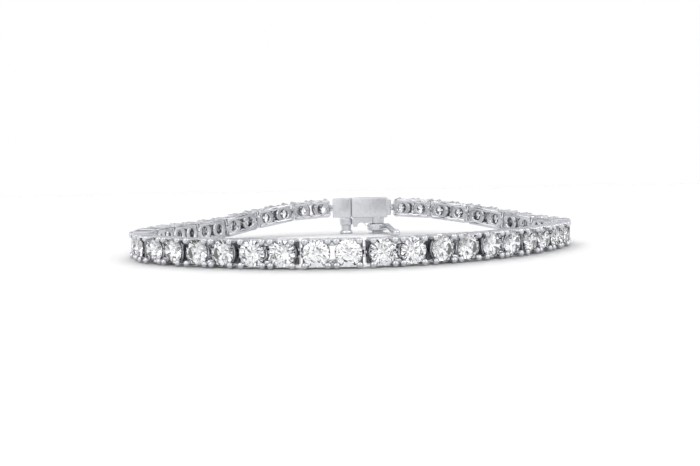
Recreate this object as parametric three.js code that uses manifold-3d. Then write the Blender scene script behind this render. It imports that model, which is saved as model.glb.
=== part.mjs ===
// Line (tennis) bracelet: a closed loop of two-stone links, pinned end to end, lying on its edge.
// Millimetres. +Z is up, -Y is the front of the loop, and the box clasp is at the back.
//
// Every link is drawn in its own frame: x along the chain, y from the stones' tables (-y)
// towards the wrist (+y), z across the band. The pins lie on the line y = 0.

import * as THREE from 'three';
import { mergeVertices } from 'three/addons/utils/BufferGeometryUtils.js';
import Module from 'manifold-3d';

const wasm = await Module();
wasm.setup();

// ---- driving dimensions -------------------------------------------------------------------

const LINK_COUNT = 23;
const LINK_PITCH = 7.13; // pin to pin
const BAND_HEIGHT = 3.52; // across the band, prong edge to prong edge
const HALF_BAND = BAND_HEIGHT / 2;

// How the loop lies: the pins' distance from its middle, every 30 degrees from +X towards +Y.
const LAY = [
  { bearing: 0, reach: 29.2 },
  { bearing: 30, reach: 28.2 },
  { bearing: 60, reach: 26.5 },
  { bearing: 90, reach: 27.3 },
  { bearing: 120, reach: 27.8 },
  { bearing: 150, reach: 27.5 },
  { bearing: 180, reach: 28.9 },
  { bearing: 210, reach: 31.1 },
  { bearing: 240, reach: 28.7 },
  { bearing: 270, reach: 27.1 },
  { bearing: 300, reach: 25.5 },
  { bearing: 330, reach: 26.3 },
];

const LAY_TENSION = 0.5;

// The clasp's left pin, as a share of the curve's length from bearing 0.
const FIRST_PIN = 0.272;

// The clasp stands on its two feet, and the chain comes down from it on both sides.
const CLASP_LIFT = 2.8;
const LIFT_RUN = { afterClasp: 27, beforeClasp: 32 };

// Stones and the baskets that hold them.
const STONE = { radius: 1.45, spread: 1.8, girdle: -1.3, crown: 0.45, pavilion: 1.25, table: 0.85 };
const STONE_SIDES = 8;
const STONE_NECK = { length: 1.0, thickness: 0.3 };
const PRONG = { radius: 0.42, root: 0.41, tip: -1.95, across: 1.34 };
const PRONG_AT = { inner: 0.47, outer: 3.03, outerRoot: 2.7 }; // along the link
const PRONG_SIDES = 4;

// Hinge between two links: an eye between two ears, on a pin soldered into the ears.
const HINGE = { eye: 0.36, hole: 0.25, pin: 0.16, leaf: 0.3, gap: 0.08, setback: 0.465 };
const HINGE_SIDES = 6;
const EAR_TOP = HINGE.leaf * 1.5 + HINGE.gap;

const OVERLAP = 0.1; // how far soldered and cast pieces run into each other
const THROUGH = [-3, 3]; // clear of the metal on both sides

// ---- solids -------------------------------------------------------------------------------

function solid(geometry) {
  const bare = geometry.index ? geometry.clone() : geometry;
  bare.deleteAttribute('normal');
  bare.deleteAttribute('uv');
  const merged = mergeVertices(bare, 1e-4);
  return new wasm.Manifold(new wasm.Mesh({
    numProp: 3,
    vertProperties: new Float32Array(merged.attributes.position.array),
    triVerts: new Uint32Array(merged.index.array),
  }));
}

function geometryOf(body) {
  const mesh = body.getMesh();
  const geometry = new THREE.BufferGeometry();
  geometry.setAttribute('position', new THREE.BufferAttribute(new Float32Array(mesh.vertProperties), 3));
  geometry.setIndex(new THREE.BufferAttribute(new Uint32Array(mesh.triVerts), 1));
  return geometry;
}

const join = (bodies) => bodies.reduce((whole, body) => whole.add(body));

function block([x0, x1], [y0, y1], [z0, z1]) {
  const geometry = new THREE.BoxGeometry(x1 - x0, y1 - y0, z1 - z0);
  return solid(geometry.translate((x0 + x1) / 2, (y0 + y1) / 2, (z0 + z1) / 2));
}

// A round bar across the band, standing on the point x, y.
function barAcross(x, y, radius, [z0, z1], sides) {
  const geometry = new THREE.CylinderGeometry(radius, radius, z1 - z0, sides);
  return solid(geometry.rotateX(Math.PI / 2).translate(x, y, (z0 + z1) / 2));
}

// A round bar through the band, from the tables' side to the wrist's.
function barThrough(x, z, radius, [y0, y1], sides) {
  const geometry = new THREE.CylinderGeometry(radius, radius, y1 - y0, sides);
  return solid(geometry.rotateY(Math.PI / sides).translate(x, (y0 + y1) / 2, z));
}

// ---- hinge halves, shared by the links and the clasp ----------------------------------------

const mirrored = ([low, high]) => [-high, -low];
const LEAF_DEPTH = [-HINGE.eye, HINGE.eye];

// The eye stands out in the direction of side from the wall at x.
function hingeEye(pinX, side) {
  const half = HINGE.leaf / 2;
  const reach = [pinX - HINGE.setback - OVERLAP, pinX].map((x) => side * x).sort((a, b) => a - b);
  const leaf = block(reach, LEAF_DEPTH, [-half, half]);
  const round = barAcross(side * pinX, 0, HINGE.eye, [-half, half], HINGE_SIDES);
  const hole = barAcross(side * pinX, 0, HINGE.hole, THROUGH, HINGE_SIDES);
  return join([leaf, round]).subtract(hole);
}

function hingeFork(pinX, side) {
  const ear = [HINGE.leaf / 2 + HINGE.gap, EAR_TOP];
  const reach = [pinX - HINGE.setback - OVERLAP, pinX].map((x) => side * x).sort((a, b) => a - b);
  const ears = [ear, mirrored(ear)].flatMap((height) => [
    block(reach, LEAF_DEPTH, height),
    barAcross(side * pinX, 0, HINGE.eye, height, HINGE_SIDES),
  ]);
  const pin = barAcross(side * pinX, 0, HINGE.pin, [-HINGE.leaf, HINGE.leaf], HINGE_SIDES);
  return join([...ears, pin]);
}

// ---- one link: two four-prong baskets on one gallery, with an eye and a fork --------------------

const GALLERY = { half: 3.1, depth: [-0.75, 0.85], bore: 1.15 };
const WINDOW = { half: 0.32, height: 0.78 }; // between the two stones, right through the link

// A square prong that leans out from its root on the gallery to its tip over the stone.
function prong(rootX, tipX, z) {
  const [rootY] = GALLERY.depth;
  const height = rootY - PRONG.tip;
  const geometry = new THREE.CylinderGeometry(PRONG.root, PRONG.radius, height + OVERLAP, PRONG_SIDES);
  const lean = new THREE.Matrix4().makeShear(0, 0, (rootX - tipX) / height, 0, 0, 0);
  geometry.translate(0, (height + OVERLAP) / 2, 0).applyMatrix4(lean);
  return solid(geometry.translate(tipX, PRONG.tip, z));
}

function linkBody() {
  let gallery = block([-GALLERY.half, GALLERY.half], GALLERY.depth, [-HALF_BAND, HALF_BAND]);
  for (const side of [-1, 1]) {
    gallery = gallery.subtract(barThrough(side * STONE.spread, 0, GALLERY.bore, THROUGH, STONE_SIDES));
  }
  const window = block([-WINDOW.half, WINDOW.half], THROUGH, [-WINDOW.height, WINDOW.height]);
  const prongs = [];
  for (const side of [-1, 1]) {
    for (const z of [-PRONG.across, PRONG.across]) {
      prongs.push(prong(side * PRONG_AT.inner, side * PRONG_AT.inner, z));
      prongs.push(prong(side * PRONG_AT.outerRoot, side * PRONG_AT.outer, z));
    }
  }
  const hinges = [hingeFork(LINK_PITCH / 2, 1), hingeEye(LINK_PITCH / 2, -1)];
  return join([gallery.subtract(window), ...prongs, ...hinges]);
}

// Two brilliants, crown towards -y, held together by a short neck between their girdles.
function stonePair() {
  const outline = [
    new THREE.Vector2(0, STONE.girdle - STONE.crown),
    new THREE.Vector2(STONE.table, STONE.girdle - STONE.crown),
    new THREE.Vector2(STONE.radius, STONE.girdle),
    new THREE.Vector2(0, STONE.girdle + STONE.pavilion),
  ];
  const stones = [-1, 1].map((side) => {
    const brilliant = new THREE.LatheGeometry(outline, STONE_SIDES, Math.PI / STONE_SIDES);
    return solid(brilliant.translate(side * STONE.spread, 0, 0));
  });
  const half = STONE_NECK.thickness / 2;
  const reach = STONE_NECK.length / 2;
  const depth = [STONE.girdle - half, STONE.girdle + half];
  return join([...stones, block([-reach, reach], depth, [-half, half])]);
}

// ---- box clasp ----------------------------------------------------------------------------------
// Its frame is a link's: x along the chain, y towards the wrist, z across the band.

const FLOOR = -HALF_BAND - CLASP_LIFT;
const BOX = { from: -4.55, to: 1.75, outer: -1.75, inner: 0.85, wall: 0.5, roof: 0.55 };
const BOX_NECK = { outer: -1.2, inner: 0.7, inset: 0.4 }; // the solid end that carries the hinge
const SKIRT = { from: -3.9, step: -0.55, to: 1.6, depth: [-0.6, 0.45] };
const SKIRT_Z = { low: FLOOR + 1.15, high: FLOOR + 1.8, top: -HALF_BAND + 0.2 };
const ARCH = { x: 0.15, radius: 0.75 };
const PIVOT = { x: -2.75, post: 0.55, head: 1.05, headTop: FLOOR + 0.4, bossLow: FLOOR + 1.75 };
const LUG = { x: 2.87, radius: 1.15, neck: 0.9, footTop: FLOOR + 0.4 };
const LUG_Z = { low: FLOOR + 1.65, stem: FLOOR + 2, top: -HALF_BAND - 0.16 };
const STEM = { to: LUG.x + 1, depth: [-0.7, 0.7], top: -HALF_BAND + 0.3 };
const HEAD = { from: 1.9, outer: -1.65, inner: 0.75, inset: 0.06 };
const ROUND_SIDES = 12;

function claspBox(span) {
  const end = span / 2 - HINGE.setback;
  const shell = block([BOX.from, BOX.to], [BOX.outer, BOX.inner], [-HALF_BAND, HALF_BAND]);
  const cavity = block(
    [BOX.from + BOX.wall, BOX.to + OVERLAP],
    [BOX.outer + BOX.wall, BOX.inner - BOX.wall],
    [-HALF_BAND + BOX.roof, HALF_BAND - BOX.roof],
  );
  const neckZ = [-HALF_BAND + BOX_NECK.inset, HALF_BAND - BOX_NECK.inset];
  const neck = block([-end, BOX.from + OVERLAP], [BOX_NECK.outer, BOX_NECK.inner], neckZ);
  const apron = block([SKIRT.from, SKIRT.step + OVERLAP], SKIRT.depth, [SKIRT_Z.high, SKIRT_Z.top]);
  const tab = block([SKIRT.step, SKIRT.to], SKIRT.depth, [SKIRT_Z.low, SKIRT_Z.top]);
  const arch = barThrough(ARCH.x, SKIRT_Z.low, ARCH.radius, THROUGH, ROUND_SIDES);
  const boss = barAcross(PIVOT.x, 0, PIVOT.head, [PIVOT.bossLow, SKIRT_Z.top - OVERLAP], ROUND_SIDES);
  const postZ = [PIVOT.headTop - OVERLAP, PIVOT.bossLow + OVERLAP];
  const post = barAcross(PIVOT.x, 0, PIVOT.post, postZ, ROUND_SIDES);
  const rivet = barAcross(PIVOT.x, 0, PIVOT.head, [FLOOR, PIVOT.headTop], ROUND_SIDES);
  const housing = shell.subtract(cavity);
  return join([housing, neck, apron, tab.subtract(arch), boss, post, rivet, hingeEye(span / 2, -1)]);
}

// The tongue is one folded strip: its lower leaf runs in from the head, its upper leaf springs back.
const STRIP = { thickness: 0.32, fold: -3.5, bend: 0.15, crook: 0.6, halfWidth: 0.95 };
const LOWER_LEAF = { from: HEAD.from + 0.3, y: 0.2 };
const UPPER_LEAF = { free: 0.9, y: -1.05 };

function claspTongue(span) {
  const end = span / 2 - HINGE.setback;
  const bendY = LOWER_LEAF.y - STRIP.thickness * 1.2;
  const outline = new THREE.Shape([
    new THREE.Vector2(LOWER_LEAF.from, LOWER_LEAF.y),
    new THREE.Vector2(STRIP.fold, LOWER_LEAF.y),
    new THREE.Vector2(STRIP.fold - STRIP.bend, bendY),
    new THREE.Vector2(UPPER_LEAF.free, UPPER_LEAF.y),
    new THREE.Vector2(UPPER_LEAF.free, UPPER_LEAF.y + STRIP.thickness),
    new THREE.Vector2(STRIP.fold + STRIP.crook, LOWER_LEAF.y - STRIP.thickness),
    new THREE.Vector2(LOWER_LEAF.from, LOWER_LEAF.y - STRIP.thickness),
  ]);
  const leaves = new THREE.ExtrudeGeometry(outline, { depth: 2 * STRIP.halfWidth, bevelEnabled: false });
  const headZ = [-HALF_BAND + HEAD.inset, HALF_BAND - HEAD.inset];
  const head = block([HEAD.from, end], [HEAD.outer, HEAD.inner], headZ);
  const stem = block([HEAD.from + OVERLAP, STEM.to], STEM.depth, [LUG_Z.stem, STEM.top]);
  const lug = barAcross(LUG.x, 0, LUG.radius, [LUG_Z.low, LUG_Z.top], ROUND_SIDES);
  const neck = barAcross(LUG.x, 0, LUG.neck, [LUG.footTop - OVERLAP, LUG_Z.low + OVERLAP], ROUND_SIDES);
  const foot = barAcross(LUG.x, 0, LUG.radius, [FLOOR, LUG.footTop], ROUND_SIDES);
  const spring = solid(leaves.translate(0, 0, -STRIP.halfWidth));
  return join([spring, head, stem, lug, neck, foot, hingeFork(span / 2, 1)]);
}

// Safety catch: an eye on the clasp's rivet and a bar that swings under the clasp, beside the lug.
// It is drawn about its rivet, with the bar along -y and beside the eye, towards -x.
const CATCH = { eye: 1.85, hole: 0.66, bottom: 0.5, top: 1.65, bar: 0.5, tip: 0.6, offset: 1.6 };
const CATCH_BAR = [
  { along: 0.0, height: 1.25 },
  { along: 2.0, height: 1.35 },
  { along: 5.0, height: 1.0 },
  { along: 8.0, height: 0.72 },
  { along: 10.0, height: 0.65 },
];
const CATCH_STEPS = 5;
const CATCH_BEARING = 6; // open, swung into the loop and this far towards +X

function safetyCatch() {
  const ring = new THREE.Shape().absarc(0, 0, CATCH.eye, 0, 2 * Math.PI);
  ring.holes.push(new THREE.Path().absarc(0, 0, CATCH.hole, 0, 2 * Math.PI));
  const eye = new THREE.ExtrudeGeometry(ring, {
    depth: CATCH.top - CATCH.bottom, bevelEnabled: false, curveSegments: ROUND_SIDES / 2,
  });
  const route = CATCH_BAR.map((row) => new THREE.Vector3(CATCH.offset, -row.along, row.height));
  const section = new THREE.Shape().absarc(0, 0, CATCH.bar, 0, 2 * Math.PI);
  const bar = new THREE.ExtrudeGeometry(section, {
    steps: CATCH_STEPS, extrudePath: new THREE.CatmullRomCurve3(route), curveSegments: HINGE_SIDES / 2,
  });
  const tip = new THREE.SphereGeometry(CATCH.tip, HINGE_SIDES, CATCH_STEPS);
  const last = route[route.length - 1];
  const rounded = solid(tip.rotateX(Math.PI / 2).translate(last.x, last.y, last.z));
  return join([solid(eye.translate(0, 0, CATCH.bottom)), solid(bar), rounded]);
}

// ---- where the links lie ------------------------------------------------------------------------

const lay = new THREE.CatmullRomCurve3(LAY.map(({ bearing, reach }) => {
  const angle = THREE.MathUtils.degToRad(bearing);
  return new THREE.Vector3(reach * Math.cos(angle), reach * Math.sin(angle), 0);
}), true, 'catmullrom', LAY_TENSION);
lay.arcLengthDivisions = 2000;

// The next pin along the curve, exactly one pitch from this one in a straight line.
const HALVINGS = 50;
const LONGEST_ARC = 1.2; // in pitches

function nextPin(start, pitch) {
  const from = lay.getPointAt(start % 1);
  let low = start;
  let high = start + LONGEST_ARC * pitch / lay.getLength();
  for (let step = 0; step < HALVINGS; step += 1) {
    const middle = (low + high) / 2;
    const isShort = lay.getPointAt(middle % 1).distanceTo(from) < pitch;
    if (isShort) low = middle;
    else high = middle;
  }
  return low;
}

// Height of the band's lower edge, from the distance along the curve to the clasp's nearer pin.
function lift(distance, run) {
  if (distance >= run) return 0;
  return CLASP_LIFT * (1 + Math.cos(Math.PI * distance / run)) / 2;
}

// Pins from the clasp's left end, round the front, to its right end.
function pinPlaces() {
  const length = lay.getLength();
  const marks = [FIRST_PIN];
  for (let link = 0; link < LINK_COUNT; link += 1) {
    marks.push(nextPin(marks[link], LINK_PITCH));
  }
  return marks.map((mark) => {
    const after = lift((mark - marks[0]) * length, LIFT_RUN.afterClasp);
    const before = lift((marks[LINK_COUNT] - mark) * length, LIFT_RUN.beforeClasp);
    return lay.getPointAt(mark % 1).setZ(HALF_BAND + Math.max(after, before));
  });
}

// A frame midway between two pins: x from the first to the second, y into the loop.
function seatBetween(first, second) {
  const along = second.clone().sub(first).normalize();
  const inward = new THREE.Vector3(0, 0, 1).cross(along).normalize();
  const across = along.clone().cross(inward);
  const seat = new THREE.Group();
  seat.quaternion.setFromRotationMatrix(new THREE.Matrix4().makeBasis(along, inward, across));
  seat.position.copy(first).add(second).multiplyScalar(0.5);
  return seat;
}

// ---- the bracelet ---------------------------------------------------------------------------------

const METAL = { color: 0xe9e9ec, roughness: 0.16, metalness: 1 };
const CRYSTAL = { color: 0xf7f9fb, roughness: 0.02, metalness: 0 };

function piece(name, geometry, finish) {
  const mesh = new THREE.Mesh(geometry, new THREE.MeshStandardMaterial(finish));
  mesh.name = name;
  return mesh;
}

const pins = pinPlaces();
const bracelet = new THREE.Group();
const linkGeometry = geometryOf(linkBody());
const stoneGeometry = geometryOf(stonePair());

for (let link = 0; link < LINK_COUNT; link += 1) {
  const number = String(link + 1).padStart(2, '0');
  const seat = seatBetween(pins[link], pins[link + 1]);
  seat.add(piece(`link_${number}`, linkGeometry, METAL));
  seat.add(piece(`stones_${number}`, stoneGeometry, CRYSTAL));
  bracelet.add(seat);
}

const claspSpan = pins[LINK_COUNT].distanceTo(pins[0]);
const claspSeat = seatBetween(pins[LINK_COUNT], pins[0]);
claspSeat.add(piece('clasp_box', geometryOf(claspBox(claspSpan)), METAL));
claspSeat.add(piece('clasp_tongue', geometryOf(claspTongue(claspSpan)), METAL));
bracelet.add(claspSeat);

const catchSeat = new THREE.Group();
claspSeat.updateMatrix();
catchSeat.position.set(PIVOT.x, 0, FLOOR).applyMatrix4(claspSeat.matrix);
catchSeat.rotation.z = THREE.MathUtils.degToRad(CATCH_BEARING);
catchSeat.add(piece('safety_catch', geometryOf(safetyCatch()), METAL));
bracelet.add(catchSeat);

// The origin is the middle of the footprint, on the surface that the bracelet stands on.
bracelet.updateMatrixWorld(true);
const middle = new THREE.Box3().setFromObject(bracelet, true).getCenter(new THREE.Vector3());
bracelet.position.set(-middle.x, -middle.y, 0);

export default bracelet;
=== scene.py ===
import math

import bmesh
import bpy
import numpy as np
from mathutils import Matrix, Vector


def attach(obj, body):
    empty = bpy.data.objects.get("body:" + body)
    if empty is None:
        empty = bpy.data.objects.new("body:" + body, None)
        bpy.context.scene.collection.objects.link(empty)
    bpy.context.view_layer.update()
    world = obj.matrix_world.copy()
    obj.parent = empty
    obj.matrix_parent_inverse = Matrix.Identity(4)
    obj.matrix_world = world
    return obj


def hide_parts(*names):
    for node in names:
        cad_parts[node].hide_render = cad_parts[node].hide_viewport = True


# A tennis bracelet: 23 cast links of two round brilliants each, on hinge pins, closed by a box clasp.
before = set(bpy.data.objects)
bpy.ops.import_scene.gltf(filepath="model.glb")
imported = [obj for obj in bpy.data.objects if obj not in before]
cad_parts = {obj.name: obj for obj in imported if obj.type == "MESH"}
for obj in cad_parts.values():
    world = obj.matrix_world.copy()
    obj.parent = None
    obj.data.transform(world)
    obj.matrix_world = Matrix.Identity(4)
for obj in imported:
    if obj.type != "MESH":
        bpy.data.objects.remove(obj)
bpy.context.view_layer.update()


# ---- Camera -------------------------------------------------------------------------------------
# A standard lens close to the table, looking along it at the front of the loop. It is turned by a
# degree, as a hand-set tripod is, and everything is in focus. Angles are in radians.
MM = 0.001
LENS = 41.1
SENSOR_WIDTH = 36
NEAREST = 5 * MM
CAMERA_PLACE = Vector((-2.9, -116.05, 10.25)) * MM
LOOKS_DOWN = 0.0714
LOOKS_RIGHT = 0.0141
LEANS = 0.0194

camera = bpy.data.objects.new("camera", bpy.data.cameras.new("camera"))
camera.data.lens = LENS
camera.data.sensor_width = SENSOR_WIDTH
camera.data.clip_start = NEAREST
heading = Matrix.Rotation(-LOOKS_RIGHT, 4, "Z") @ Matrix.Rotation(math.pi / 2 - LOOKS_DOWN, 4, "X")
camera.matrix_world = Matrix.Translation(CAMERA_PLACE) @ heading @ Matrix.Rotation(-LEANS, 4, "Z")
bpy.context.collection.objects.link(camera)
bpy.context.scene.camera = camera


# ---- Links --------------------------------------------------------------------------------------
# Each link is one casting in white gold, buffed and plated with rhodium: two four-prong baskets with
# an open window between them. A flat eye at one end turns on the pin in the next link's fork, and
# the prongs are balled over the stones.

# Sizes are in millimetres, in a link's own frame: x runs along the chain, y from the stones'
# tables to the wrist, and z across the band. The pins lie at y = 0.
LINK_COUNT = 23
PITCH = 7.13
HALF_BAND = 1.76
STONE_SPREAD = 1.8
TABLE_PLANE = -1.75
SEAT_RING = {"inner": 1.2, "outer": 1.56, "front": -1.02, "back": -0.5}
BASE_RING = {"inner": 0.72, "outer": 1.5, "front": 0.3, "back": 0.82}
RING_EASE = 0.22  # as a share of the ring's width
END_WALL = {"start": 2.93, "end": 3.1, "high": 1.42, "front": -1.0, "back": 0.75, "ease": 0.07}
HINGE_BLOCK = {"start": 2.93, "end": 3.38, "high": 1.3, "front": -0.3, "back": 0.6, "ease": 0.08}
PRONG = {"across": 1.33, "tip": -1.6, "ball": 0.4, "flat": 0.83, "neck": 0.36, "wire": 0.33,
         "sides": 20}
PRONG_ROOT = {"across": 1.28, "depth": 0.6}
PRONG_TIPS = (-3.03, -0.47, 0.47, 3.03)
PRONG_ROOTS = (-2.72, -0.5, 0.5, 2.72)
WINDOW_WEB = {"half": 0.4, "front": -1.15, "back": 0.75, "inner": 0.82, "outer": 1.5, "ease": 0.1}
SIDE_RAIL = {"half": 2.85, "front": -0.2, "back": 0.2, "inner": 1.1, "outer": 1.5, "ease": 0.12}
BASE_RAIL = {"half": 3.1, "front": 0.35, "back": 0.85, "inner": 0.95, "outer": 1.55, "ease": 0.12}
LEAF = {"thick": 0.3, "gap": 0.08, "round": 0.36, "long": 0.75, "ease": 0.04}
PIN = {"round": 0.16, "proud": 0.04}
# Painted recess shade starts at these planes, going in from each face, and deepens over these depths.
RECESS_EDGE = {"front": -1.15, "back": 0.3, "side": 1.45, "end": 3.45, "window": 0.5}
RECESS_FADE = {"front": 0.4, "back": 0.6, "side": 0.3, "end": 0.1, "window": 0.6}
SATIN = 0.1  # how far the outside falls short of the full polish
WELD = 0.0005  # points nearer than this are one
RHODIUM = "#DDDEE1"
RHODIUM_WORN = "#D3D4D8"
# The dark grey of the shade painted into the links' recesses.
RECESS_SHADE_GREY = "#3C3D41"
RECESS_ROUGHNESS = 0.3
PEEL = {"size": 0.5, "height": 0.02, "strength": 0.05}
BUFF_SIZE = 0.3  # real buffing lines are finer; these are as coarse as they need to show
BUFF_RANGE = (0.7, 1.5)
WEAR_SPREAD = 0.25
MIX_A, MIX_B, MIX_RESULT = 6, 7, 2  # the colour sockets of a Mix node


def seat_of(number):
    """The frame of a link, read off its stones' solid, which is longest along the chain, next
    longest across the band, and has its tables to the front."""
    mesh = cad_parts[f"stones_{number:02d}"].data
    corners = np.unique(np.round([tuple(v.co) for v in mesh.vertices], 7), axis=0)
    middle = corners.mean(axis=0)
    _, _, spread = np.linalg.svd(corners - middle)
    along, across = Vector(spread[0]), Vector(spread[1])
    across *= math.copysign(1, across.z)
    inward = across.cross(along)
    if inward.dot(Vector(middle).xy.to_3d()) > 0:
        inward.negate()
    along = inward.cross(across)
    front = min(Vector(corner - middle).dot(inward) for corner in corners)
    origin = Vector(middle) + inward * (front - TABLE_PLANE * MM)
    axes = Matrix((along, inward, across)).transposed().to_4x4()
    return Matrix.Translation(origin) @ axes @ Matrix.Scale(MM, 4)


def ring(work, x, inner, outer, front, back, sides=40):
    """A turned ring round a stone's axis, with its edges eased."""
    ease = (outer - inner) * RING_EASE
    profile = [(inner, front + ease), (inner + ease, front),
               (outer - ease, front), (outer, front + ease),
               (outer, back - ease), (outer - ease, back),
               (inner + ease, back), (inner, back - ease)]
    points = [work.verts.new((x + radius, depth, 0)) for radius, depth in profile]
    edges = [work.edges.new((points[step - 1], points[step])) for step in range(len(points))]
    bmesh.ops.spin(work, geom=points + edges, cent=(x, 0, 0), axis=(0, 1, 0),
                   angle=2 * math.pi, steps=sides, use_merge=True)


def slab(work, low, high, ease, segments=2):
    """A flat bar with eased edges, between two corners."""
    size = [b - a for a, b in zip(low, high)]
    centre = [(a + b) / 2 for a, b in zip(low, high)]
    made = bmesh.ops.create_cube(
        work, size=1, matrix=Matrix.Translation(centre) @ Matrix.Diagonal((*size, 1)))
    edges = {edge for vertex in made["verts"] for edge in vertex.link_edges}
    bmesh.ops.bevel(work, geom=list(edges), offset=ease, affect="EDGES", segments=segments,
                    profile=0.5, material=-1)


def rod(work, start, end, radius, end_radius=None, sides=20):
    """A round wire from one point to another."""
    start, end = Vector(start), Vector(end)
    reach = end - start
    aim = reach.to_track_quat("Z", "Y").to_matrix().to_4x4()
    bmesh.ops.create_cone(work, cap_ends=True, segments=sides, radius1=radius,
                          radius2=radius if end_radius is None else end_radius,
                          depth=reach.length, matrix=Matrix.Translation((start + end) / 2) @ aim)


def prong(work, root, tip, across):
    """A tapered wire from the basket's foot, with a flattened bead that holds the stone's edge."""
    over = (tip, PRONG["tip"], across * PRONG["across"])
    foot = (root, PRONG_ROOT["depth"], across * PRONG_ROOT["across"])
    rod(work, foot, over, PRONG["wire"], PRONG["neck"], sides=PRONG["sides"])
    bead = Matrix.Diagonal((PRONG["ball"], PRONG["ball"] * PRONG["flat"], PRONG["ball"], 1))
    bmesh.ops.create_uvsphere(
        work, u_segments=PRONG["sides"], v_segments=PRONG["sides"] // 2, radius=1,
        matrix=Matrix.Translation(over) @ bead @ Matrix.Rotation(math.pi / 2, 4, "X"))


def end_plate(work, side, start, end, high, front, back, ease):
    """A plate across one end of the link, between two distances from its middle."""
    near, far = sorted((side * start, side * end))
    slab(work, (near, front, -high), (far, back, high), ease, segments=3)


def side_bar(work, across, half, front, back, inner, outer, ease):
    """A bar along one edge of the band, as long on both sides of the link's middle."""
    near, far = sorted((across * inner, across * outer))
    slab(work, (-half, front, near), (half, back, far), ease, segments=3)


def hinge_leaf(work, pin, side, low, high):
    """A flat leaf with a round end about the pin, between two places across the band."""
    near, far = sorted((side * pin, side * (pin - LEAF["long"])))
    slab(work, (near, -LEAF["round"], low), (far, LEAF["round"], high), LEAF["ease"])
    rod(work, (side * pin, 0, low), (side * pin, 0, high), LEAF["round"])


def hinge_eye(work, pin, side):
    """The middle leaf of a hinge."""
    hinge_leaf(work, pin, side, -LEAF["thick"] / 2, LEAF["thick"] / 2)


def hinge_fork(work, pin, side):
    """The two outer leaves of a hinge, and the pin that is riveted through them."""
    low = LEAF["thick"] / 2 + LEAF["gap"]
    high = low + LEAF["thick"]
    hinge_leaf(work, pin, side, -high, -low)
    hinge_leaf(work, pin, side, low, high)
    head = high + PIN["proud"]
    rod(work, (side * pin, 0, -head), (side * pin, 0, head), PIN["round"])


def link_shape():
    """One link in its own frame."""
    work = bmesh.new()
    for side in (-1, 1):
        ring(work, side * STONE_SPREAD, **SEAT_RING)
        ring(work, side * STONE_SPREAD, **BASE_RING)
        end_plate(work, side, **END_WALL)
        end_plate(work, side, **HINGE_BLOCK)
    for across in (-1, 1):
        for root, tip in zip(PRONG_ROOTS, PRONG_TIPS):
            prong(work, root, tip, across)
        for bar in (WINDOW_WEB, SIDE_RAIL, BASE_RAIL):
            side_bar(work, across, **bar)
    hinge_fork(work, PITCH / 2, 1)
    hinge_eye(work, PITCH / 2, -1)
    return work


def paint_recess_shade(work):
    """Marks how deep in the link each point lies, for the painted shade and roughness of its recesses.
    """
    recess_shade = work.verts.layers.float.new("recess_shade")
    for vertex in work.verts:
        x, y, z = vertex.co
        inside = {"front": y - RECESS_EDGE["front"], "back": RECESS_EDGE["back"] - y,
                  "side": RECESS_EDGE["side"] - abs(z), "end": RECESS_EDGE["end"] - abs(x),
                  "window": abs(x) - RECESS_EDGE["window"]}
        depth = min(inside[edge] / RECESS_FADE[edge] for edge in inside)
        vertex[recess_shade] = max(SATIN, min(1.0, depth))


def finished(name, work, seat, material, crease=40):
    """Turns a bmesh into a piece with its place in its mesh. Edges sharper than crease, in degrees,
    stay sharp, and at 0 every face is flat."""
    bmesh.ops.remove_doubles(work, verts=work.verts, dist=WELD)
    bmesh.ops.recalc_face_normals(work, faces=work.faces)
    mesh = bpy.data.meshes.new(name)
    work.to_mesh(mesh)
    mesh.transform(seat)
    if crease:
        mesh.shade_smooth()
        mesh.set_sharp_from_angle(angle=math.radians(crease))
    mesh.materials.append(material)
    piece = bpy.data.objects.new(name, mesh)
    bpy.context.collection.objects.link(piece)
    return piece


def linear(code):
    """An sRGB hex colour as the linear values that a shader takes."""
    parts = [int(code[digit:digit + 2], 16) / 255 for digit in (1, 3, 5)]
    return [part / 12.92 if part <= 0.04045 else ((part + 0.055) / 1.055) ** 2.4
            for part in parts] + [1.0]


def add(owner, kind, links=None, stops=(), **settings):
    """Adds a node to a material or a world, with its settings, its sockets' values, the stops of
    its colour ramp, and the links to its inputs."""
    node = owner.node_tree.nodes.new(kind)
    for name, value in settings.items():
        if hasattr(node, name):
            setattr(node, name, value)
        else:
            node.inputs[name.replace("_", " ")].default_value = value
    for _ in stops[2:]:
        node.color_ramp.elements.new(1.0)
    for order, (position, colour) in enumerate(stops):
        node.color_ramp.elements[order].position = position
        node.color_ramp.elements[order].color = colour
    for socket, source in (links or {}).items():
        owner.node_tree.links.new(source, node.inputs[socket])
    return node


def new_material(name):
    """A material and its shader."""
    material = bpy.data.materials.new(name)
    material.use_nodes = True
    return material, material.node_tree.nodes["Principled BSDF"]


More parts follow.
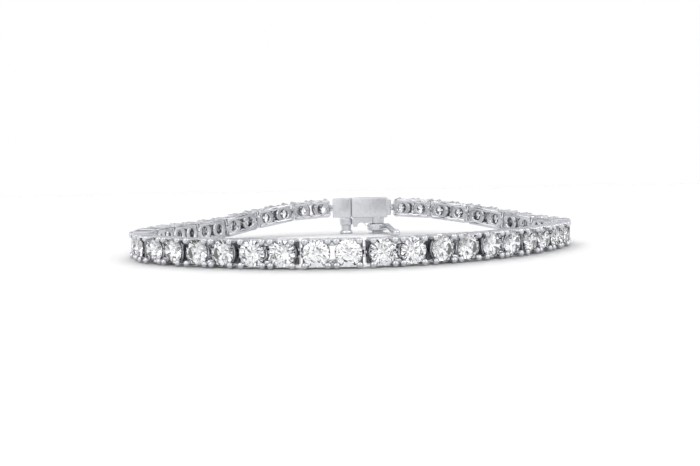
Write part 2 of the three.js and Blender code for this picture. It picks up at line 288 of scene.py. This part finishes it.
def rhodium_plate(name, polish, wear):
    """Rhodium plate on buffed white gold: a bright, slightly cool mirror. It has a faint orange peel
    from the casting, a gloss that changes with the buffing, and painted grey shade in the recesses,
    which are also rougher. Polish is its roughness, and wear is how much of the plate is buffed thin."""
    material, shader = new_material(name)
    surface = add(material, "ShaderNodeTexCoord").outputs["Object"]
    recess_shade = add(material, "ShaderNodeAttribute", attribute_name="recess_shade").outputs["Fac"]
    peel = add(material, "ShaderNodeTexNoise", {"Vector": surface},
               Scale=1 / (PEEL["size"] * MM), Detail=2.0).outputs["Fac"]
    buff = add(material, "ShaderNodeTexNoise", {"Vector": surface},
               Scale=1 / (BUFF_SIZE * MM), Detail=3.0).outputs["Fac"]
    tint = add(material, "ShaderNodeValToRGB", {"Fac": peel}, stops=(
        (wear, linear(RHODIUM_WORN)), (wear + WEAR_SPREAD, linear(RHODIUM))))
    # Painted shade: the colour goes towards a dark grey deeper in the link.
    colour = add(material, "ShaderNodeMix", {"Factor": recess_shade, MIX_A: tint.outputs["Color"]},
                 data_type="RGBA")
    colour.inputs[MIX_B].default_value = linear(RECESS_SHADE_GREY)
    gloss = add(material, "ShaderNodeMapRange", {"Value": buff},
                To_Min=polish * BUFF_RANGE[0], To_Max=polish * BUFF_RANGE[1])
    cast = add(material, "ShaderNodeMapRange", {"Value": recess_shade}, To_Max=RECESS_ROUGHNESS)
    roughness = add(material, "ShaderNodeMath",
                    {0: gloss.outputs["Result"], 1: cast.outputs["Result"]}, operation="ADD")
    bump = add(material, "ShaderNodeBump", {"Height": peel},
               Strength=PEEL["strength"], Distance=PEEL["height"] * MM)
    links = material.node_tree.links
    links.new(colour.outputs[MIX_RESULT], shader.inputs["Base Color"])
    links.new(roughness.outputs["Value"], shader.inputs["Roughness"])
    links.new(bump.outputs["Normal"], shader.inputs["Normal"])
    shader.inputs["Metallic"].default_value = 1.0
    return material


link_metal = rhodium_plate("rhodium_plated_link", polish=0.1, wear=0.3)
seats = {number: seat_of(number) for number in range(1, LINK_COUNT + 1)}
link_work = link_shape()
paint_recess_shade(link_work)
for number, seat in seats.items():
    link = finished(f"cast_link_{number:02d}", link_work.copy(), seat, link_metal)
    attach(link, "bracelet")
    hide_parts(f"link_{number:02d}")


# ---- Stones -------------------------------------------------------------------------------------
# Round brilliants of 3.05 mm, about 0.11 carat each, held by four prongs. A table, stars, kites and
# upper girdle facets lie over a thin girdle, with lower girdle facets and mains below it. They are
# colourless, so they show only flashes of what is round them.
STONE_RADIUS = 1.525
GIRDLE_PLANE = -1.3
GIRDLE_HALF = 0.03
TABLE_SHARE = 0.56
CROWN = 0.44
PAVILION = 1.31
LOWER_SHARE = 0.22  # how far out from the culet the lower girdle facets begin
CULET = 0.02
FLATTEST_EDGE = math.radians(0.6)
CRYSTAL_CLEAR = "#FFFFFF"
CRYSTAL_COOL = "#F6F8FC"
CLOUD_SIZE = 1.5
CRYSTAL_IOR = 2.417


def brilliant(work, x):
    """One stone on the axis at x: its facets are the hull of the rings where they meet."""
    table = STONE_RADIUS * TABLE_SHARE
    eighth = math.pi / 8
    star = (table * math.cos(eighth) + STONE_RADIUS) / 2
    star_height = CROWN * (STONE_RADIUS - star * math.cos(eighth)) / (STONE_RADIUS - table)
    lower = STONE_RADIUS * LOWER_SHARE
    lower_height = PAVILION * (1 - lower * math.cos(eighth) / STONE_RADIUS)
    rings = [
        (table, -GIRDLE_HALF - CROWN, 8, 0),
        (star, -GIRDLE_HALF - star_height, 8, eighth),
        (STONE_RADIUS, -GIRDLE_HALF, 16, 0),
        (STONE_RADIUS, GIRDLE_HALF, 16, 0),
        (lower, GIRDLE_HALF + lower_height, 8, eighth),
        (CULET, GIRDLE_HALF + PAVILION, 8, 0),
    ]
    points = []
    for radius, depth, count, start in rings:
        for step in range(count):
            angle = start + 2 * math.pi * step / count
            points.append(work.verts.new((
                x + radius * math.cos(angle), GIRDLE_PLANE + depth, radius * math.sin(angle))))
    hull = bmesh.ops.convex_hull(work, input=points)
    edges = [item for item in hull["geom"] if isinstance(item, bmesh.types.BMEdge)]
    bmesh.ops.dissolve_limit(work, angle_limit=FLATTEST_EDGE, verts=points, edges=edges)


def cut_crystal():
    """Colourless crystal, cut and polished: it bends light as a diamond does, so that its facets
    flash, and it is clouded by a breath of cool white."""
    material, shader = new_material("brilliant_cut_crystal")
    inside = add(material, "ShaderNodeTexCoord").outputs["Object"]
    cloud = add(material, "ShaderNodeTexNoise", {"Vector": inside},
                Scale=1 / (CLOUD_SIZE * MM), Detail=1.0)
    tint = add(material, "ShaderNodeValToRGB", {"Fac": cloud.outputs["Fac"]}, stops=(
        (0.0, linear(CRYSTAL_COOL)), (1.0, linear(CRYSTAL_CLEAR))))
    material.node_tree.links.new(tint.outputs["Color"], shader.inputs["Base Color"])
    shader.inputs["Roughness"].default_value = 0.0
    shader.inputs["IOR"].default_value = CRYSTAL_IOR
    shader.inputs["Transmission Weight"].default_value = 1.0
    return material


crystal = cut_crystal()
pair_work = bmesh.new()
for side in (-1, 1):
    brilliant(pair_work, side * STONE_SPREAD)
for number, seat in seats.items():
    stones = finished(f"brilliants_{number:02d}", pair_work.copy(), seat, crystal, crease=0)
    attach(stones, "bracelet")
    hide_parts(f"stones_{number:02d}")


# ---- Box clasp ----------------------------------------------------------------------------------
# A folded and soldered box, buffed to a softer shine than the links, with a skirt below it that
# stands on a rivet's head. The tongue's solid end fills the box's mouth and stands on a round lug.

# In the clasp's own frame x runs along the chain, y to the wrist and z up, from midway between the
# pins on each side of it. A turned profile is rows of radius and height above the table.
CLASP_LIFT = 2.8
FOOT = -HALF_BAND - CLASP_LIFT
SETBACK = 0.465  # from a hinge's pin to the metal that its leaves are soldered to
BOX = {"low": (-4.55, -1.75, -HALF_BAND), "high": (1.75, 0.85, HALF_BAND), "ease": 0.16}
NECK = {"front": -1.2, "back": 0.7, "high": HALF_BAND - 0.4, "end": -4.35, "ease": 0.14}
SKIRT = {"from": -3.9, "step": -0.55, "to": 1.6, "front": -0.6, "back": 0.45,
         "low": FOOT + 1.15, "high": FOOT + 1.8, "top": -HALF_BAND + 0.2}
ARCH = {"x": 0.15, "round": 0.75, "steps": 16}
RIVET_X = -2.75
RIVET_PROFILE = (
    (0, 0), (0.93, 0), (1.05, 0.12), (1.05, 0.3), (0.95, 0.4), (0.55, 0.4),
    (0.55, 1.75), (0.97, 1.75), (1.05, 1.83), (1.05, CLASP_LIFT + 0.1), (0, CLASP_LIFT + 0.1))
HEAD = {"start": 1.9, "front": -1.65, "back": 0.75, "high": HALF_BAND - 0.06, "ease": 0.14}
APRON = {"low": (2.0, -0.7, FOOT + 2), "high": (3.87, 0.7, -HALF_BAND + 0.3), "ease": 0.08}
LUG_X = 2.87
LUG_PROFILE = (
    (0, 0), (1.0, 0), (1.15, 0.15), (1.1, 0.4), (0.9, 0.6),
    (0.9, 1.45), (1.15, 1.65), (1.15, 2.52), (1.03, 2.64), (0, 2.64))


def clasp_frame():
    """The clasp's frame, midway between the pins of the two links beside it, and their distance."""
    after = seats[1] @ Vector((-PITCH / 2, 0, 0))
    before = seats[LINK_COUNT] @ Vector((PITCH / 2, 0, 0))
    along = (after - before).normalized()
    inward = Vector((0, 0, 1)).cross(along).normalized()
    axes = Matrix((along, inward, along.cross(inward))).transposed().to_4x4()
    middle = Matrix.Translation((after + before) / 2) @ axes @ Matrix.Scale(MM, 4)
    return middle, (after - before).length / MM


def turned(work, x, profile, foot=0.0, sides=48):
    """A part turned on an upright axis at x, with its profile's heights counted from foot."""
    points = [work.verts.new((x + radius, 0, foot + height)) for radius, height in profile]
    edges = [work.edges.new(ends) for ends in zip(points, points[1:])]
    bmesh.ops.spin(work, geom=points + edges, cent=(x, 0, 0), axis=(0, 0, 1),
                   angle=2 * math.pi, steps=sides, use_merge=True)


def skirt_plate(work):
    """The skirt's outline with its arch, extruded through its thickness."""
    turns = [math.pi * (1 - step / ARCH["steps"]) for step in range(ARCH["steps"] + 1)]
    arch = [(ARCH["x"] + ARCH["round"] * math.cos(turn), SKIRT["low"] + ARCH["round"] * math.sin(turn))
            for turn in turns]
    outline = [(SKIRT["from"], SKIRT["top"]), (SKIRT["from"], SKIRT["high"]),
               (SKIRT["step"], SKIRT["high"]), *arch,
               (SKIRT["to"], SKIRT["low"]), (SKIRT["to"], SKIRT["top"])]
    face = work.faces.new([work.verts.new((x, SKIRT["front"], z)) for x, z in outline])
    grown = bmesh.ops.extrude_face_region(work, geom=[face])
    moved = [item for item in grown["geom"] if isinstance(item, bmesh.types.BMVert)]
    bmesh.ops.translate(work, verts=moved, vec=(0, SKIRT["back"] - SKIRT["front"], 0))


# The same plate, rubbed to a satin by handling, so that its flat faces show the buffing.
clasp_metal = rhodium_plate("rhodium_plated_clasp", polish=0.3, wear=0.3)
clasp_place, pin_span = clasp_frame()
half_span = pin_span / 2
box_work = bmesh.new()
slab(box_work, BOX["low"], BOX["high"], BOX["ease"], segments=4)
slab(box_work, (-half_span + SETBACK, NECK["front"], -NECK["high"]),
     (NECK["end"], NECK["back"], NECK["high"]), NECK["ease"], segments=4)
skirt_plate(box_work)
turned(box_work, RIVET_X, RIVET_PROFILE, FOOT)
hinge_eye(box_work, half_span, -1)
tongue_work = bmesh.new()
slab(tongue_work, (HEAD["start"], HEAD["front"], -HEAD["high"]),
     (half_span - SETBACK, HEAD["back"], HEAD["high"]), HEAD["ease"], segments=4)
slab(tongue_work, APRON["low"], APRON["high"], APRON["ease"])
turned(tongue_work, LUG_X, LUG_PROFILE, FOOT)
hinge_fork(tongue_work, half_span, 1)
for name, work, node in (("folded_box", box_work, "clasp_box"),
                         ("box_tongue", tongue_work, "clasp_tongue")):
    clasp_part = finished(name, work, clasp_place, clasp_metal)
    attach(clasp_part, "bracelet")
    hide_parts(node)


# ---- Safety catch -------------------------------------------------------------------------------
# Hard round wire soldered to a turned eye that swings on the clasp's rivet. Its end is balled in
# the flame, and it is polished all over. Its frame stands on the table, on the rivet's axis.
CATCH_EYE_PROFILE = (
    (0.66, 0.5), (1.7, 0.5), (1.85, 0.65), (1.85, 1.5), (1.7, 1.65), (0.66, 1.65), (0.66, 0.5))
CATCH_BEARING = math.radians(6)
WIRE = {"round": 0.48, "ball": 0.6, "offset": 1.6, "sides": 24}
WIRE_ROUTE = ((0.0, 1.25), (2.0, 1.35), (5.0, 1.0), (8.0, 0.72), (10.0, 0.65))

# The same plate on drawn wire, which is handled less and keeps more of its polish.
catch_metal = rhodium_plate("rhodium_plated_wire", polish=0.16, wear=0.35)
catch_work = bmesh.new()
turned(catch_work, 0, CATCH_EYE_PROFILE)
route = [Vector((WIRE["offset"], -reach, height)) for reach, height in WIRE_ROUTE]
for start, end in zip(route, route[1:]):
    rod(catch_work, start, end, WIRE["round"], sides=WIRE["sides"])
for bend in route:
    radius = WIRE["ball"] if bend is route[-1] else WIRE["round"]
    bmesh.ops.create_uvsphere(catch_work, u_segments=WIRE["sides"], v_segments=WIRE["sides"] // 2,
                              radius=radius, matrix=Matrix.Translation(bend))
rivet_foot = clasp_place @ Vector((RIVET_X, 0, FOOT))
catch_place = (Matrix.Translation(rivet_foot) @ Matrix.Rotation(CATCH_BEARING, 4, "Z")
               @ Matrix.Scale(MM, 4))
safety_catch = finished("wire_catch", catch_work, catch_place, catch_metal)
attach(safety_catch, "catch")
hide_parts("safety_catch")


# ---- Table and light ----------------------------------------------------------------------------
# A table of pale opal acrylic, faintly lit from below, in a white studio. The studio has a dark end
# and soft dark bands between its lights, which give the metal and the facets something to show.
# A high window behind the loop throws its soft shadow forward, and isn't mirrored in the metal.
TABLE_OPAL = "#CFCFCF"
TABLE_HALF = 0.45
TABLE_ROUGHNESS = 0.9
TABLE_GLOW = 0.04
STUDIO_LEVELS = (  # rows of how far along the studio, how bright, and how much bluer
    (0.006, 0.04, 1.0), (0.018, 1.64, 1.0), (0.6, 1.64, 1.03), (0.75, 1.05, 1.03))
BAND_SCALE = 2.2
BAND_BEND = 6.0
BAND_EDGES = (0.17, 0.33)
BAND_DARK = (0.03, 0.03, 0.03, 1)
WHITE = (1, 1, 1, 1)
WINDOW = {"place": (-0.1, 1.0, 1.0), "power": 2.5, "angle": math.radians(50)}

# Matt opal acrylic mirrors nothing, so the table stays an even pale white outside the shadows.
floor_material, floor_shader = new_material("backlit_opal_acrylic")
floor_shader.inputs["Base Color"].default_value = linear(TABLE_OPAL)
floor_shader.inputs["Roughness"].default_value = TABLE_ROUGHNESS
floor_shader.inputs["Specular IOR Level"].default_value = 0.0
floor_shader.inputs["Emission Color"].default_value = linear(TABLE_OPAL)
floor_shader.inputs["Emission Strength"].default_value = TABLE_GLOW
floor_work = bmesh.new()
bmesh.ops.create_grid(floor_work, x_segments=1, y_segments=1, size=TABLE_HALF)
floor = finished("table", floor_work, Matrix.Identity(4), floor_material, crease=0)

# The studio's light changes with its direction, from the end at -y, behind the camera, to +y.
studio = bpy.data.worlds.new("studio")
studio.use_nodes = True
bpy.context.scene.world = studio
direction = add(studio, "ShaderNodeTexCoord").outputs["Generated"]
depth = add(studio, "ShaderNodeSeparateXYZ", {"Vector": direction})
share = add(studio, "ShaderNodeMapRange", {"Value": depth.outputs["Y"]}, From_Min=-1.0)
walls = add(studio, "ShaderNodeValToRGB", {"Fac": share.outputs["Result"]}, stops=[
    (position, (level, level, level * cool, 1)) for position, level, cool in STUDIO_LEVELS])
bands = add(studio, "ShaderNodeTexWave", {"Vector": direction},
            Scale=BAND_SCALE, Distortion=BAND_BEND, Detail=1.0)
gaps = add(studio, "ShaderNodeValToRGB", {"Fac": bands.outputs["Fac"]}, stops=(
    (BAND_EDGES[0], BAND_DARK), (BAND_EDGES[1], WHITE)))
lit = add(studio, "ShaderNodeMix", {MIX_A: walls.outputs["Color"], MIX_B: gaps.outputs["Color"]},
          data_type="RGBA", blend_type="MULTIPLY", Factor=1.0)
sight = add(studio, "ShaderNodeLightPath")
seen = add(studio, "ShaderNodeMix",
           {"Factor": sight.outputs["Is Camera Ray"], MIX_A: lit.outputs[MIX_RESULT]},
           data_type="RGBA")
seen.inputs[MIX_B].default_value = WHITE
studio.node_tree.links.new(
    seen.outputs[MIX_RESULT], studio.node_tree.nodes["Background"].inputs["Color"])


def lamp(name, kind, place, power, **settings):
    """A studio light that looks at the middle of the loop."""
    light = bpy.data.lights.new(name, kind)
    light.energy = power
    for setting, value in settings.items():
        setattr(light, setting, value)
    fitting = bpy.data.objects.new(name, light)
    fitting.location = place
    fitting.rotation_euler = (-Vector(place)).to_track_quat("-Z", "Y").to_euler()
    bpy.context.collection.objects.link(fitting)
    return fitting


high_window = lamp("high_window", "SUN", **WINDOW)
high_window.visible_glossy = False
high_window.visible_transmission = False
lamp("front_left", "AREA", (-0.25, -0.25, 0.3), 0.16, shape="SQUARE", size=0.1)
lamp("front_right", "AREA", (0.3, -0.15, 0.25), 0.14, shape="SQUARE", size=0.08)
bpy.context.scene.view_settings.view_transform = "Standard"
